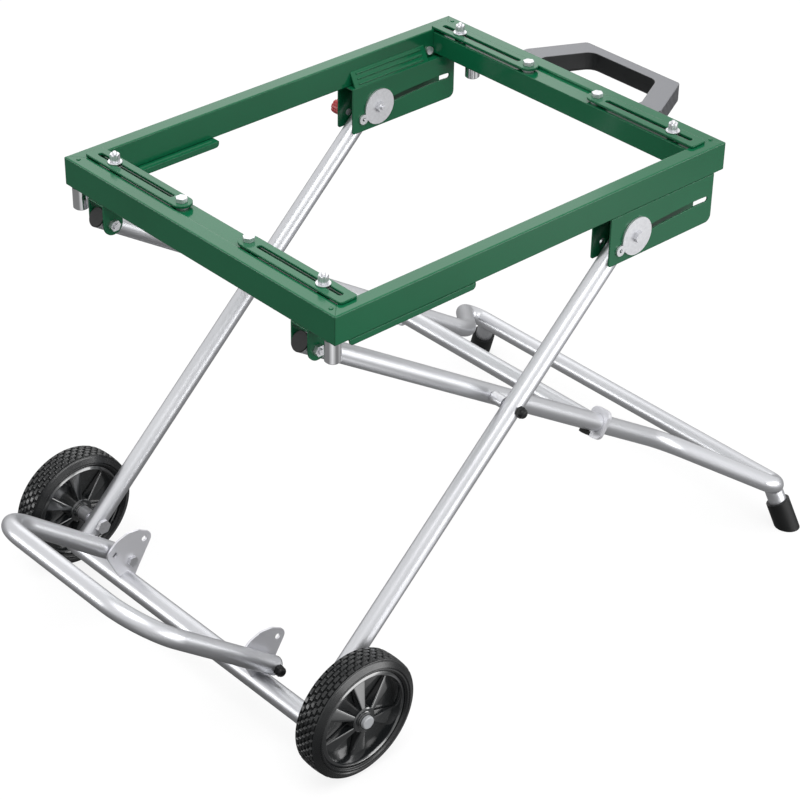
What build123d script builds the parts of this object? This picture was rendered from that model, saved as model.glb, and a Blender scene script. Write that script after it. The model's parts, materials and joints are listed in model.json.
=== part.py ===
from build123d import *
import os
from math import cos, hypot, radians, sin, tan

os.makedirs("parts", exist_ok=True)

# Folding stand for a bench-top table saw, in millimetres, standing unfolded.
# X runs along the stand from the wheels (-X) to the carry handle (+X), Y across it, Z up.
# The floor is Z = 0. Places are given from the middle of the top frame and moved by frame_shift,
# which puts the middle of the whole stand at X = 0.

# Top frame
frame_length = 640
frame_width = 500
frame_height = 620
rail_width = 20
rail_depth = 38
rail_wall = 2
rail_edge_radius = 1.6
ledge_width = 27
ledge_depth = 29
ledge_drop = 4
ledge_lip = 9
sheet = 2
rivet_radius = 2.8
rivet_height = 1
rivet_inset_x = 9
rivet_inset_y = 17
joint_gap = 0.3
cut_overrun = 3

# Channels under the long rails, in which the straight legs run and fold up
channel_width = 31
channel_inset = 22
channel_length_share = 0.3
channel_lip = 8
channel_corner = 5
slot_bracket_lead = 45.5
slot_bracket_tail = 12.2
slot_bracket_drop = 66
slot_bracket_corner_start = 3
slot_bracket_corner_end = 9
flange_inset_start = 4.5
flange_inset_end = 48
flange_rise = 21
flange_screw_inset = 38
flange_screw_rise = 10
bead_radius = 1.4
bead_inset = 8
bead_shares = (0.2, 0.5, 0.8)
channel_screw_inset_start = 50
channel_screw_inset_end = 44
bracket_screw_lead = 25.5
bracket_screw_tail = 26

# Tubes
tube = 25
tube_wall = 1.5
legs_apart = 44.5
plug_lip = 2
plug_depth = 10
plug_clearance = 0.1

# Linkage: places of the pivots under the top frame, and how the two legs lean when unfolded and folded
bent_pivot_inset = 14
bent_pivot_drop = 29.5
slide_pin_drop = 37
slot_end_inset = 31.1
slide_pin_share = 0.7917
wheel_radius = 82.5
bent_leg_fall = 33.06
straight_leg_rise = 43.7
bent_leg_turn = 31.8
straight_leg_turn = 42.6
leg_overrun_bent = 15
leg_overrun_straight = 15

# Pins and fasteners
pin = 8
pin_clearance = 0.3
hex_size = 13
hex_height = 5.3
thread_end = 3
thread_clearance = 0.1
slide_pin = 6.4
slot_clearance = 0.45
disc_radius = 25
disc_thickness = 2.5
disc_lug_reach = 30
disc_lug_radius = 7
disc_lug_fall = 21.4
disc_lug_hole = 5

# Bent pair of legs with the feet
bend_z = 145
seam_before_bend = 164
bend_radius = 90
corner_reach = 124
corner_splay = 140
corner_z = 72
corner_radius = 20
cross_tube_back = 152
collar_gap = 1
collar_thickness = 7
collar_width = 30
collar_height = 41
collar_corner = 9
collar_screw_back = 14
foot_reach = 142
foot_splay = 119
foot_lean_x = 0.18
foot_lean_y = 0.42
foot_radius = 16.5
foot_cap_length = 41
foot_sole = 7
foot_stub_share = 0.3

# Straight pair of legs with the wheels
cross_back = 28
cross_drop = 26.5
cross_tube = 28
axle = 12
axle_clearance = 0.3
wheel_offset = 30.5
wheel_width = 40
axle_cap_radius = 8.5
axle_cap_height = 5
tyre_inner_radius = 66
tyre_shoulder = 7
rim_radius = 66
rim_thickness = 5
rim_inset = 3
hub_radius = 17
spoke_count = 6
spoke_root = 5
spoke_tip = 24
spoke_inset = 9
web_thickness = 3
axle_spacer_radius = 9

# Load bar at the wheel end
load_pivot_back = 18
load_pivot_rise = 1.5
load_rise = 39
load_reach = 247
load_arm_inset = 40
load_back = 5
load_corner_radius = 66
load_lock_reach = 33
load_turn = 92.7
ear_inset = 15
ear_thickness = 3
ear_round = 11
ear_foot_round = 4
ear_hole = 8
ear_fan_shares = (0, 0.25, 0.5, 0.75, 1)
button = 7
button_length = 9

# Arms that carry the saw
arm_width = 26
arm_thickness = 3
arm_lift = 4.6
arm_pivot_inset = 188
arm_tip_inset = 14
arm_slot_width = 7.4
arm_slot_start = 16
arm_slot_inset = 12
arm_corner = 4
arm_pivot = 8
arm_spacer_radius = 8
saw_bolt = 6
saw_bolt_inset = 58
saw_bolt_rise = 15
saw_bolt_head_radius = 7
saw_bolt_head_height = 2.6
saw_washer_radius = 9
saw_washer_height = 1.6
saw_nut_size = 11
saw_nut_height = 10

# Leg stops
stop_radius = 10
stop_length = 29
stop_edge = 1.5
stop_inset = 10
stop_inset_y = 15

# Pivot bracket under the wheel end
pivot_ear_gap = 26.4
pivot_ear_radius = 14

# Carry handle
handle_reach = 101
handle_root_y = 122
handle_root_width = 34
handle_shoulder = 24
handle_corner_y = 84
handle_grip = 17
handle_inner_y = 58
handle_top_drop = 12
handle_thickness = 27
handle_corner_radius = 7
handle_inner_radius = 16
handle_edge = 5
handle_screw = 6
handle_screw_pitch = 15
handle_screw_head = 5.5
handle_screw_head_height = 3.5
handle_screw_grip = 14

# Red latch knob
knob_bush_radius = 4.6
knob_bush_length = 6
knob_stem = 5
knob_radius = 10
knob_length = 16
knob_flutes = 8
knob_flute_radius = 1.6
knob_travel = 12

half_length = frame_length / 2
half_width = frame_width / 2
rail_bottom = frame_height - rail_depth
ledge_top = frame_height - ledge_drop
channel_inner_y = half_width - channel_width
straight_leg_y = half_width - channel_width / 2
bent_leg_y = straight_leg_y - legs_apart
arm_x = half_length - rail_width - ledge_width / 2
arm_bottom = ledge_top + arm_lift
arm_pivot_y = half_width - arm_pivot_inset
arm_reach = half_width - arm_tip_inset - arm_pivot_y
arm_slot_end = arm_reach - arm_slot_inset
saw_bolt_y = half_width - saw_bolt_inset

# Places of the pivots, seen from the side
bent_pivot_x = bent_pivot_inset - half_length
bent_pivot_z = rail_bottom - bent_pivot_drop
slide_pin_x = bent_pivot_x + slide_pin_share * (frame_length - bent_pivot_inset - slot_end_inset)
slide_pin_z = rail_bottom - slide_pin_drop
axle_z = wheel_radius
axle_x = slide_pin_x - (slide_pin_z - axle_z) / tan(radians(straight_leg_rise))
bend_x = bent_pivot_x + (bent_pivot_z - bend_z) / tan(radians(bent_leg_fall))
bend_from_pivot = (bend_x - bent_pivot_x) / cos(radians(bent_leg_fall))
seam_from_pivot = bend_from_pivot - seam_before_bend
corner_x = bend_x + corner_reach
corner_y = bent_leg_y + corner_splay
cross_tube_x = bend_x - cross_tube_back
foot_x = bend_x + foot_reach
foot_y = bent_leg_y + foot_splay
foot_stub_top = corner_z - foot_stub_share * tube
cross_x = axle_x - cross_back
cross_z = axle_z - cross_drop
cross_tube_length = 2 * straight_leg_y + tube
wheel_inner_y = straight_leg_y + wheel_offset
load_pivot_x = axle_x - load_pivot_back
load_pivot_z = axle_z + load_pivot_rise
load_arm_y = bent_leg_y - load_arm_inset
ear_y = load_arm_y - ear_inset
lug_heading = radians(180 + disc_lug_fall)
knob_x = slide_pin_x + disc_lug_reach * cos(lug_heading)
knob_z = slide_pin_z + disc_lug_reach * sin(lug_heading)
load_tip = load_reach * cos(radians(load_rise)) + tube / 2
wheel_end_reach = load_tip - load_pivot_x
foot_end_reach = foot_x + foot_radius * hypot(1, foot_lean_x)
frame_shift = (wheel_end_reach - foot_end_reach) / 2


def at(x, y, z):
    """A place given from the middle of the top frame."""
    return Vector(frame_shift + x, y, z)


def side_plane(y):
    """The upright plane along the stand at this Y: across the page is X, up the page is Z."""
    return Plane(origin=at(0, y, 0), x_dir=(1, 0, 0), z_dir=(0, -1, 0))


def end_plane(x):
    """The upright plane across the stand at this X: across the page is Y, up the page is Z."""
    return Plane(origin=at(x, 0, 0), x_dir=(0, 1, 0), z_dir=(1, 0, 0))


def level_plane(z):
    """The level plane at this height."""
    return Plane(origin=at(0, 0, z), x_dir=(1, 0, 0), z_dir=(0, 0, 1))


def hand_over(name, *pieces):
    """Label a finished piece and write it; like pieces share one file as separate solids."""
    solids = [solid for piece in pieces for solid in piece.solids()]
    finished = solids[0] if len(solids) == 1 else Compound(solids)
    finished.label = name
    export_step(finished, f"parts/{name}.step")


def rod(start, end, radius):
    """A solid round bar between two places."""
    with BuildPart() as bar:
        with BuildSketch(Plane(origin=start, z_dir=end - start)):
            Circle(radius)
        extrude(amount=(end - start).length)
    return bar.part


def tube_along(places, bends, outer=tube, bore=tube - 2 * tube_wall):
    """A round tube along straight runs, with a bend at each place between them; no bore gives a bar."""
    with BuildPart() as piece:
        with BuildLine() as path:
            if bends:
                FilletPolyline(*places, radius=bends)
            else:
                Line(*places)
        with BuildSketch(Plane(origin=path.line @ 0, z_dir=path.line % 0)):
            Circle(outer / 2)
            if bore:
                Circle(bore / 2, mode=Mode.SUBTRACT)
        sweep(path=path.line)
    return piece.part


def end_plug(end, inward, outer=tube):
    """A plastic plug in a tube's open end; inward points into the tube."""
    bore = outer / 2 - tube_wall - plug_clearance
    with BuildPart() as plug:
        with BuildSketch(Plane(origin=end, z_dir=-inward)):
            Circle(outer / 2)
        extrude(amount=plug_lip)
        with BuildSketch(Plane(origin=end, z_dir=inward)):
            Circle(bore)
        extrude(amount=plug_depth)
        chamfer(plug.faces().sort_by(Axis(end, -inward))[-1].edges(), length=plug_lip / 4)
    return plug.part


def cross_bolt(x, z, head_y, nut_y, shank=pin, size=hex_size, height=hex_height):
    """A bolt across the stand, with its hexagon head seated at head_y and its nut at nut_y."""
    outward = 1 if head_y > nut_y else -1
    with BuildPart() as bolt:
        with BuildSketch(side_plane(head_y)):
            with Locations((x, z)):
                RegularPolygon(radius=size / 2, side_count=6, major_radius=False)
        extrude(amount=-outward * height)
        with BuildSketch(side_plane(head_y)):
            with Locations((x, z)):
                Circle(shank / 2)
        extrude(amount=outward * (abs(head_y - nut_y) + height + thread_end))
    with BuildPart() as nut:
        with BuildSketch(side_plane(nut_y)):
            with Locations((x, z)):
                RegularPolygon(radius=size / 2, side_count=6, major_radius=False)
                Circle(shank / 2 + thread_clearance, mode=Mode.SUBTRACT)
        extrude(amount=outward * height)
    return [bolt.part, nut.part]


def cross_ring(x, z, start_y, end_y, outer, inner):
    """A washer, sleeve or bush lying across the stand."""
    with BuildPart() as ring:
        with BuildSketch(side_plane(start_y)):
            with Locations((x, z)):
                Circle(outer)
                Circle(inner, mode=Mode.SUBTRACT)
        extrude(amount=start_y - end_y)
    return ring.part


def cap_nut(x, z, seat_y, side, shank=pin, size=hex_size, height=hex_height):
    """A closed domed nut, seated at seat_y and standing out on this side."""
    with BuildPart() as nut:
        with BuildSketch(side_plane(seat_y)):
            with Locations((x, z)):
                RegularPolygon(radius=size / 2, side_count=6, major_radius=False)
        extrude(amount=-side * height)
        with BuildSketch(side_plane(seat_y)):
            with Locations((x, z)):
                Circle(size / 2)
        extrude(amount=-side * height * 2)
        fillet(nut.faces().sort_by(Axis.Y)[-1 if side > 0 else 0].edges(), radius=size / 3)
        with BuildSketch(side_plane(seat_y)):
            with Locations((x, z)):
                Circle(shank / 2 + thread_clearance)
        extrude(amount=-side * (height + thread_end), mode=Mode.SUBTRACT)
    return nut.part


# The linkage

def pin_place(share):
    """Where the slide pin stands, as X and Z, at this share of the whole fold."""
    bent = radians(-bent_leg_fall + share * bent_leg_turn)
    straight = radians(straight_leg_rise - share * straight_leg_turn)
    return (
        bent_pivot_x + bent_link * cos(bent) + straight_link * cos(straight),
        bent_pivot_z + bent_link * sin(bent) + straight_link * sin(straight),
    )


scissor_x = (
    bent_pivot_z + tan(radians(bent_leg_fall)) * bent_pivot_x
    - axle_z + tan(radians(straight_leg_rise)) * axle_x
) / (tan(radians(straight_leg_rise)) + tan(radians(bent_leg_fall)))
scissor_z = bent_pivot_z - tan(radians(bent_leg_fall)) * (scissor_x - bent_pivot_x)
bent_link = hypot(scissor_x - bent_pivot_x, scissor_z - bent_pivot_z)
straight_link = hypot(slide_pin_x - scissor_x, slide_pin_z - scissor_z)
slot_bracket_start = slide_pin_x - slot_bracket_lead
slot_bracket_end = pin_place(1)[0] + slot_bracket_tail
channel_start = half_length - channel_inset
channel_end = channel_start - channel_length_share * frame_length
flange_start = slot_bracket_start + flange_inset_start
flange_length = slot_bracket_end - flange_inset_end - flange_start
flange_screw = (slot_bracket_end - flange_screw_inset, rail_bottom + flange_screw_rise)
bracket_screw_y = half_width - rail_width / 2
bracket_screw_xs = (
    channel_screw_inset_start - half_length, -channel_end - channel_screw_inset_end,
    slot_bracket_start + bracket_screw_lead, slot_bracket_end - bracket_screw_tail,
)


# Top frame: four box-section rails, mitred and welded at the corners

def long_rail(side):
    with BuildPart() as rail:
        with BuildSketch(level_plane(rail_bottom)):
            with BuildLine():
                Polyline(
                    (-half_length, side * half_width),
                    (half_length, side * half_width),
                    (half_length - rail_width, side * (half_width - rail_width)),
                    (rail_width - half_length, side * (half_width - rail_width)),
                    close=True,
                )
            make_face()
        extrude(amount=rail_depth)
        fillet(rail.edges().filter_by(Axis.X), radius=rail_edge_radius)
        with BuildSketch(end_plane(-half_length)):
            with Locations((side * (half_width - rail_width / 2), rail_bottom + rail_depth / 2)):
                Rectangle(rail_width - 2 * rail_wall, rail_depth - 2 * rail_wall)
        extrude(amount=frame_length, mode=Mode.SUBTRACT)
        with BuildSketch(level_plane(rail_bottom)):
            with Locations(*[(x, side * bracket_screw_y) for x in bracket_screw_xs]):
                Circle(handle_screw / 2 + thread_clearance)
        extrude(amount=rail_wall, mode=Mode.SUBTRACT)
        with BuildSketch(side_plane(side * (half_width - rail_width))):
            with Locations(flange_screw):
                Circle(handle_screw / 2 + thread_clearance)
        extrude(amount=-side * rail_wall, mode=Mode.SUBTRACT)
    return rail.part


def short_rail(end):
    with BuildPart() as rail:
        with BuildSketch(level_plane(rail_bottom)):
            with BuildLine():
                Polyline(
                    (end * half_length, -half_width),
                    (end * half_length, half_width),
                    (end * (half_length - rail_width), half_width - rail_width),
                    (end * (half_length - rail_width), rail_width - half_width),
                    close=True,
                )
            make_face()
        extrude(amount=rail_depth)
        fillet(rail.edges().filter_by(Axis.Y), radius=rail_edge_radius)
        with BuildSketch(side_plane(half_width)):
            with Locations((end * (half_length - rail_width / 2), rail_bottom + rail_depth / 2)):
                Rectangle(rail_width - 2 * rail_wall, rail_depth - 2 * rail_wall)
        extrude(amount=frame_width, mode=Mode.SUBTRACT)
        if end > 0:
            with BuildSketch(end_plane(half_length - rail_width)):
                with Locations(*handle_screw_places):
                    Circle(handle_screw / 2 + thread_clearance)
            extrude(amount=rail_width, mode=Mode.SUBTRACT)
    return rail.part


def ledge(end):
    """A folded sheet along the inside of a short rail; the arms are bolted to its top."""
    inner_x = half_length - rail_width - ledge_width
    length = frame_width - 2 * rail_width
    with BuildPart() as shelf:
        with BuildSketch(side_plane(length / 2)):
            with BuildLine():
                Polyline(
                    (end * (inner_x + ledge_width), ledge_top),
                    (end * inner_x, ledge_top),
                    (end * inner_x, ledge_top - ledge_depth),
                    (end * (inner_x + ledge_lip), ledge_top - ledge_depth),
                    (end * (inner_x + ledge_lip), ledge_top - ledge_depth + sheet),
                    (end * (inner_x + sheet), ledge_top - ledge_depth + sheet),
                    (end * (inner_x + sheet), ledge_top - sheet),
                    (end * (inner_x + ledge_width), ledge_top - sheet),
                    close=True,
                )
            make_face()
        extrude(amount=length)
        with BuildSketch(level_plane(ledge_top)):
            with Locations((end * arm_x, arm_pivot_y), (end * arm_x, -arm_pivot_y)):
                Circle(arm_pivot / 2 + thread_clearance)
        extrude(amount=-sheet, mode=Mode.SUBTRACT)
    return shelf.part


def rivets():
    places = [
        (end * (half_length - rivet_inset_x), side * (half_width - rivet_inset_y))
        for end in (-1, 1) for side in (-1, 1)
    ]
    with BuildPart() as heads:
        with BuildSketch(level_plane(frame_height)):
            with Locations(*places):
                Circle(rivet_radius)
        extrude(amount=rivet_height)
        chamfer(heads.faces().group_by(Axis.Z)[-1].edges(), length=rivet_height / 2)
    return heads.part


# Brackets and channels under the top frame

handle_screw_z = frame_height - handle_top_drop - handle_thickness / 2
handle_screw_y = handle_root_y - handle_root_width / 2
handle_screw_places = [
    (side * handle_screw_y + offset, handle_screw_z)
    for side in (-1, 1) for offset in (-handle_screw_pitch / 2, handle_screw_pitch / 2)
]


def wheel_end_channel(side):
    """A shallow inverted channel that guides the folded straight leg."""
    length = channel_start - channel_end
    middle = -(channel_start + channel_end) / 2
    with BuildPart() as channel:
        with BuildSketch(level_plane(rail_bottom)):
            with Locations((middle, side * (half_width - channel_width / 2))):
                Rectangle(length, channel_width)
            with Locations(*[(x, side * bracket_screw_y) for x in bracket_screw_xs if x < 0]):
                Circle(handle_screw / 2 + thread_clearance, mode=Mode.SUBTRACT)
        extrude(amount=-sheet)
        for lip_y in (half_width, channel_inner_y + sheet):
            with BuildSketch(side_plane(side * lip_y)) as lip:
                with Locations((middle, rail_bottom - channel_lip / 2)):
                    Rectangle(length, channel_lip)
                fillet(lip.vertices().group_by(Axis.Y)[0], radius=channel_corner)
            extrude(amount=side * sheet)
        with BuildSketch(end_plane(-channel_start + bead_inset)):
            with Locations((side * (channel_inner_y + half_width - rail_width) / 2, rail_bottom)):
                Circle(bead_radius)
        extrude(amount=length - 2 * bead_inset)
    return channel.part


def slot_bracket(side):
    """The deep inverted channel whose two walls carry the slot of the slide pin."""
    length = slot_bracket_end - slot_bracket_start
    middle = (slot_bracket_start + slot_bracket_end) / 2
    flange_y = half_width - rail_width
    path_shares = (0, 0.25, 0.5, 0.75, 1)
    with BuildPart() as bracket:
        for wall_y in (half_width, channel_inner_y + sheet):
            with BuildSketch(side_plane(side * wall_y)) as wall:
                with Locations((middle, rail_bottom - slot_bracket_drop / 2)):
                    Rectangle(length, slot_bracket_drop)
                low = wall.vertices().group_by(Axis.Y)[0].sort_by(Axis.X)
                fillet(low[0], radius=slot_bracket_corner_start)
                low = wall.vertices().group_by(Axis.Y)[0].sort_by(Axis.X)
                fillet(low[-1], radius=slot_bracket_corner_end)
            extrude(amount=side * sheet)
        with BuildSketch(level_plane(rail_bottom)):
            with Locations((middle, side * (half_width - channel_width / 2))):
                Rectangle(length, channel_width)
        extrude(amount=-sheet)
        with BuildSketch(end_plane(flange_start)):
            with BuildLine():
                Polyline(
                    (side * channel_inner_y, rail_bottom - sheet),
                    (side * channel_inner_y, rail_bottom),
                    (side * flange_y, rail_bottom + flange_rise),
                    (side * flange_y, rail_bottom + flange_rise - 2 * sheet),
                    (side * (channel_inner_y + sheet), rail_bottom - sheet),
                    close=True,
                )
            make_face()
        extrude(amount=flange_length)
        with BuildSketch(end_plane(flange_start + bead_inset)):
            with Locations(*[
                (side * (channel_inner_y + share * (flange_y - channel_inner_y)), rail_bottom + share * flange_rise)
                for share in bead_shares
            ]):
                Circle(bead_radius)
        extrude(amount=flange_length - 2 * bead_inset)
        with BuildSketch(side_plane(side * half_width)):
            with BuildLine() as path:
                Spline(*[pin_place(share) for share in path_shares])
            trace(line_width=slide_pin + 2 * slot_clearance)
            with Locations(pin_place(0), pin_place(1)):
                Circle(slide_pin / 2 + slot_clearance)
            with Locations((knob_x, knob_z)):
                Circle(knob_bush_radius)
        extrude(amount=side * channel_width, mode=Mode.SUBTRACT)
        with BuildSketch(level_plane(rail_bottom)):
            with Locations(*[(x, side * bracket_screw_y) for x in bracket_screw_xs if x > 0]):
                Circle(handle_screw / 2 + thread_clearance)
        extrude(amount=-sheet, mode=Mode.SUBTRACT)
    return bracket.part


def bracket_screws():
    """Screws that hold the channels and brackets up under the long rails, and one in each rail's inner face."""
    places = [(x, side * bracket_screw_y) for x in bracket_screw_xs for side in (-1, 1)]
    with BuildPart() as screws:
        for side in (-1, 1):
            with BuildSketch(side_plane(side * (half_width - rail_width))):
                with Locations(flange_screw):
                    Circle(handle_screw_head)
            extrude(amount=side * handle_screw_head_height)
            with BuildSketch(side_plane(side * (half_width - rail_width))):
                with Locations(flange_screw):
                    Circle(handle_screw / 2)
            extrude(amount=-side * (rail_wall + thread_end))
        with BuildSketch(level_plane(rail_bottom - sheet)):
            with Locations(*places):
                Circle(handle_screw_head)
        extrude(amount=-handle_screw_head_height)
        with BuildSketch(level_plane(rail_bottom - sheet)):
            with Locations(*places):
                Circle(handle_screw / 2)
        extrude(amount=sheet + rail_wall + thread_end)
    return screws.part


def pivot_bracket(side):
    """Two ears under the wheel-end short rail, on which the bent leg turns."""
    width = 2 * pivot_ear_radius
    outer = pivot_ear_gap / 2 + sheet
    with BuildPart() as bracket:
        with BuildSketch(level_plane(rail_bottom)):
            with Locations((bent_pivot_x, side * bent_leg_y)):
                Rectangle(width, 2 * outer)
        extrude(amount=-sheet)
        for ear in (bent_leg_y + outer, bent_leg_y - outer + sheet):
            with BuildSketch(side_plane(side * ear)):
                with Locations((bent_pivot_x, bent_pivot_z)):
                    Circle(pivot_ear_radius)
                with Locations((bent_pivot_x, (rail_bottom + bent_pivot_z) / 2)):
                    Rectangle(width, rail_bottom - bent_pivot_z)
                with Locations((bent_pivot_x, bent_pivot_z)):
                    Circle(pin / 2 + thread_clearance, mode=Mode.SUBTRACT)
            extrude(amount=side * sheet)
    return bracket.part


def bent_pivot_bolts():
    pieces = []
    for side in (-1, 1):
        middle = side * bent_leg_y
        reach = pivot_ear_gap / 2 + sheet
        pieces += cross_bolt(bent_pivot_x, bent_pivot_z, middle + reach, middle - reach)
    return pieces


def leg_stops():
    """Short round posts under the corners, against which the folded legs come to rest."""
    places = []
    for side in (-1, 1):
        places.append((stop_inset - half_length, side * (half_width - stop_inset_y)))
        places.append((half_length - stop_inset, side * bent_leg_y))
    with BuildPart() as posts:
        with BuildSketch(level_plane(rail_bottom)):
            with Locations(*places):
                Circle(stop_radius)
        extrude(amount=-stop_length)
        chamfer(posts.faces().group_by(Axis.Z)[0].edges(), length=stop_edge)
    return posts.part


# Carry handle on the outer face of the handle-end rail

def carry_handle():
    root = half_length
    tip = half_length + handle_reach
    shoulder = root + handle_shoulder
    inner_root_y = handle_root_y - handle_root_width
    top = frame_height - handle_top_drop
    with BuildPart() as handle:
        with BuildSketch(level_plane(top)) as outline:
            with BuildLine():
                Polyline(
                    (root, handle_root_y), (shoulder, handle_root_y), (tip, handle_corner_y),
                    (tip, -handle_corner_y), (shoulder, -handle_root_y), (root, -handle_root_y),
                    (root, -inner_root_y), (shoulder, -inner_root_y),
                    (tip - handle_grip, -handle_inner_y), (tip - handle_grip, handle_inner_y),
                    (shoulder, inner_root_y), (root, inner_root_y),
                    close=True,
                )
            make_face()
            fillet(outline.vertices().group_by(Axis.X)[-1], radius=handle_corner_radius)
            fillet(outline.vertices().sort_by(Axis.X)[-6:-4], radius=handle_inner_radius)
        extrude(amount=-handle_thickness)
        fillet(handle.faces().sort_by(Axis.Z)[0].edges().filter_by(Axis.Y).sort_by(Axis.X)[-2:], radius=handle_edge)
        with BuildSketch(end_plane(root)):
            with Locations(*handle_screw_places):
                Circle(handle_screw / 2 + thread_clearance)
        extrude(amount=handle_screw_grip + thread_end, mode=Mode.SUBTRACT)
    return handle.part


def handle_screws():
    with BuildPart() as screws:
        with BuildSketch(end_plane(half_length - rail_width)):
            with Locations(*handle_screw_places):
                Circle(handle_screw_head)
        extrude(amount=-handle_screw_head_height)
        with BuildSketch(end_plane(half_length - rail_width)):
            with Locations(*handle_screw_places):
                Circle(handle_screw / 2)
        extrude(amount=rail_width + handle_screw_grip)
    return screws.part


# Arms that carry the saw, and the bolts that clamp it

def saw_arm(end, side):
    pivot = (end * arm_x, side * arm_pivot_y)
    tip_y = arm_pivot_y + arm_reach
    slot_length = arm_slot_end - arm_slot_start
    slot_middle = arm_pivot_y + (arm_slot_start + arm_slot_end) / 2
    with BuildPart() as arm:
        with BuildSketch(level_plane(arm_bottom)) as outline:
            with Locations((end * arm_x, side * (arm_pivot_y + tip_y) / 2)):
                Rectangle(arm_width, arm_reach)
            fillet(outline.vertices(), radius=arm_corner)
            with Locations(pivot):
                Circle(arm_width / 2)
            with Locations(pivot):
                Circle(arm_pivot / 2 + pin_clearance, mode=Mode.SUBTRACT)
            with Locations((end * arm_x, side * slot_middle)):
                SlotOverall(slot_length, arm_slot_width, rotation=90, mode=Mode.SUBTRACT)
        extrude(amount=arm_thickness)
    return arm.part


def arm_pivot_bolts():
    """Bolts on which the arms swing, each with its spacer under the arm and its nut under the ledge."""
    pieces = []
    head_bottom = arm_bottom + arm_thickness + joint_gap
    for end in (-1, 1):
        for side in (-1, 1):
            place = (end * arm_x, side * arm_pivot_y)
            with BuildPart() as bolt:
                with BuildSketch(level_plane(head_bottom)):
                    with Locations(place):
                        RegularPolygon(radius=hex_size / 2, side_count=6, major_radius=False)
                extrude(amount=hex_height)
                with BuildSketch(level_plane(head_bottom)):
                    with Locations(place):
                        Circle(arm_pivot / 2)
                extrude(amount=-(head_bottom - ledge_top + sheet + hex_height + thread_end))
            with BuildPart() as spacer:
                with BuildSketch(level_plane(ledge_top)):
                    with Locations(place):
                        Circle(arm_spacer_radius)
                        Circle(arm_pivot / 2 + thread_clearance, mode=Mode.SUBTRACT)
                extrude(amount=arm_lift - joint_gap)
            with BuildPart() as nut:
                with BuildSketch(level_plane(ledge_top - sheet)):
                    with Locations(place):
                        RegularPolygon(radius=hex_size / 2, side_count=6, major_radius=False)
                        Circle(arm_pivot / 2 + thread_clearance, mode=Mode.SUBTRACT)
                extrude(amount=-hex_height)
            pieces += [bolt.part, spacer.part, nut.part]
    return pieces


def saw_bolt_set(end, side):
    """A carriage bolt standing in an arm's slot, with its washer and nut."""
    place = (end * arm_x, side * saw_bolt_y)
    arm_top = arm_bottom + arm_thickness
    head_top = arm_bottom - joint_gap
    washer_bottom = arm_top + joint_gap
    with BuildPart() as bolt:
        with BuildSketch(level_plane(head_top)):
            with Locations(place):
                Circle(saw_bolt_head_radius)
        extrude(amount=-saw_bolt_head_height)
        with BuildSketch(level_plane(head_top)):
            with Locations(place):
                Circle(saw_bolt / 2)
        extrude(amount=arm_top + saw_bolt_rise - head_top)
    with BuildPart() as washer:
        with BuildSketch(level_plane(washer_bottom)):
            with Locations(place):
                Circle(saw_washer_radius)
                Circle(saw_bolt / 2 + thread_clearance, mode=Mode.SUBTRACT)
        extrude(amount=saw_washer_height)
    with BuildPart() as nut:
        with BuildSketch(level_plane(washer_bottom + saw_washer_height)):
            with Locations(place):
                RegularPolygon(radius=saw_nut_size / 2, side_count=6, major_radius=False)
                Circle(saw_bolt / 2 + thread_clearance, mode=Mode.SUBTRACT)
        extrude(amount=saw_nut_height)
    return [bolt.part, washer.part, nut.part]


# Bent pair of legs: two upper tubes, a bent lower tube with the feet, and the cross tube

def bent_leg_place(side, distance):
    """A place on the bent leg's centre line, this far from its pivot towards the feet."""
    fall = radians(bent_leg_fall)
    return at(bent_pivot_x + distance * cos(fall), side * bent_leg_y, bent_pivot_z - distance * sin(fall))


def bent_leg_tube(side):
    with BuildPart() as leg:
        add(tube_along((bent_leg_place(side, -leg_overrun_bent), bent_leg_place(side, seam_from_pivot)), None))
        with BuildSketch(side_plane(side * bent_leg_y)):
            with Locations((bent_pivot_x, bent_pivot_z), (scissor_x, scissor_z)):
                Circle(pin / 2 + pin_clearance)
        extrude(amount=tube, both=True, mode=Mode.SUBTRACT)
    return leg.part


def bent_leg_plugs():
    along = bent_leg_place(1, 1) - bent_leg_place(1, 0)
    return [end_plug(bent_leg_place(side, -leg_overrun_bent), along) for side in (-1, 1)]


foot_bar_places = (
    bent_leg_place(-1, seam_from_pivot), bent_leg_place(-1, bend_from_pivot),
    at(corner_x, -corner_y, corner_z), at(corner_x, corner_y, corner_z),
    bent_leg_place(1, bend_from_pivot), bent_leg_place(1, seam_from_pivot),
)
foot_bar_bends = (bend_radius, corner_radius, corner_radius, bend_radius)


def foot_bar():
    """The bent lower tube: down from each leg, splaying out to the corners and across."""
    return tube_along(foot_bar_places, foot_bar_bends)


def foot_cross_tube():
    """The tube between the two bent legs, shaped to them at its ends."""
    cross_z_here = bent_pivot_z - tan(radians(bent_leg_fall)) * (cross_tube_x - bent_pivot_x)
    with BuildPart() as cross:
        add(tube_along(
            (at(cross_tube_x, -bent_leg_y, cross_z_here), at(cross_tube_x, bent_leg_y, cross_z_here)), None))
        for side in (-1, 1):
            add(rod(bent_leg_place(side, 0), bent_leg_place(side, seam_from_pivot), tube / 2), mode=Mode.SUBTRACT)
    return cross.part


def collar_plate(side):
    """The plate round the tube where the upper and the lower tube join."""
    along = bent_leg_place(side, 1) - bent_leg_place(side, 0)
    origin = bent_leg_place(side, seam_from_pivot + collar_gap)
    face = Plane(origin=origin, x_dir=(0, 1, 0), z_dir=along)
    with BuildPart() as plate:
        with BuildSketch(face) as outline:
            Rectangle(collar_width, collar_height)
            fillet(outline.vertices(), radius=collar_corner)
            Circle(tube / 2 + thread_clearance, mode=Mode.SUBTRACT)
        extrude(amount=collar_thickness)
    return plate.part


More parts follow.
